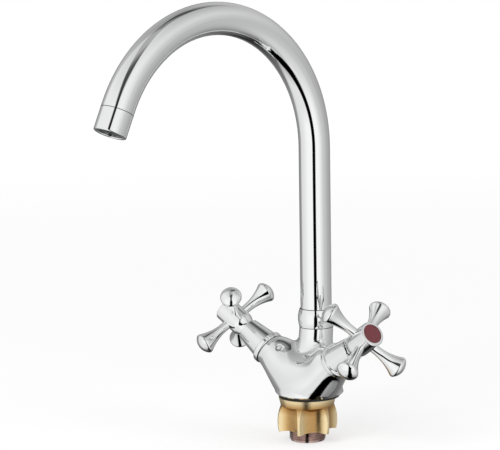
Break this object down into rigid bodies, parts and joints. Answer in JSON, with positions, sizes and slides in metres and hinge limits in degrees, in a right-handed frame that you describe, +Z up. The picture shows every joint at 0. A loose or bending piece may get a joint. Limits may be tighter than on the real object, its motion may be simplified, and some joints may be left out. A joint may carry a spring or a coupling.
{
  "type": "kitchen mixer tap",
  "caption": "Deck-mounted kitchen mixer tap with a tall swivelling swan-neck spout, cross handles on splayed valve arms and a lobed nut under the deck.",
  "frame": {"origin": "on the fixing shank's axis, in the plane of the deck under the gasket", "axes": "+Z up, the spout points towards -Y, the hot valve is on the +X arm"},
  "size_m": [0.186, 0.2296, 0.339],
  "materials": {
    "chrome": "mirror-polished chrome plate over brass",
    "cast_brass": "polished casting",
    "shank_brass": "dull threaded brass",
    "turned_brass": "turned",
    "black_rubber": "matt",
    "white_plastic": "moulded",
    "steel": "stainless",
    "disc_ceramic": "lapped",
    "index_red": "glossy",
    "index_blue": "glossy"
  },
  "bodies": {
    "tap_body": {"mixer_body": "chrome", "base_gasket": "black_rubber", "threaded_shank": "shank_brass", "fixing_nut": "cast_brass", "spout_slip_washer": "white_plastic", "spout_collar": "chrome", "hot_valve_head": "turned_brass", "hot_seat_seal": "black_rubber", "hot_fixed_disc": "disc_ceramic", "hot_bonnet": "chrome", "cold_valve_head": "turned_brass", "cold_seat_seal": "black_rubber", "cold_fixed_disc": "disc_ceramic", "cold_bonnet": "chrome"},
    "spout": {"spout_tube": "chrome", "spout_nipple": "turned_brass", "spout_orings": "black_rubber", "spout_split_ring": "white_plastic", "outlet_bush": "turned_brass", "aerator_washer": "black_rubber", "aerator_housing": "chrome", "aerator_cage": "white_plastic", "aerator_screen": "steel"},
    "hot_handle": {"hot_moving_disc": "disc_ceramic", "hot_spindle": "turned_brass", "hot_spindle_oring": "black_rubber", "hot_spindle_circlip": "steel", "hot_cross_handle": "chrome", "hot_handle_screw": "steel", "hot_index_cap": "index_red"},
    "cold_handle": {"cold_moving_disc": "disc_ceramic", "cold_spindle": "turned_brass", "cold_spindle_oring": "black_rubber", "cold_spindle_circlip": "steel", "cold_cross_handle": "chrome", "cold_handle_screw": "steel", "cold_index_cap": "index_blue"}
  },
  "joints": [
    {"name": "spout_swivel", "type": "hinge", "parent": "tap_body", "child": "spout", "pos_m": [0, 0.0109, 0.06], "axis": [0, 0, 1], "continuous": true},
    {"name": "hot_handle_turn", "type": "hinge", "parent": "tap_body", "child": "hot_handle", "pos_m": [0.03573, -0.00492, 0.0327], "axis": [0.8387, -0.1132, 0.5327], "range_deg": [0, 180]},
    {"name": "cold_handle_turn", "type": "hinge", "parent": "tap_body", "child": "cold_handle", "pos_m": [-0.03573, -0.00492, 0.0327], "axis": [-0.8387, -0.1132, 0.5327], "range_deg": [0, 180]}
  ]
}
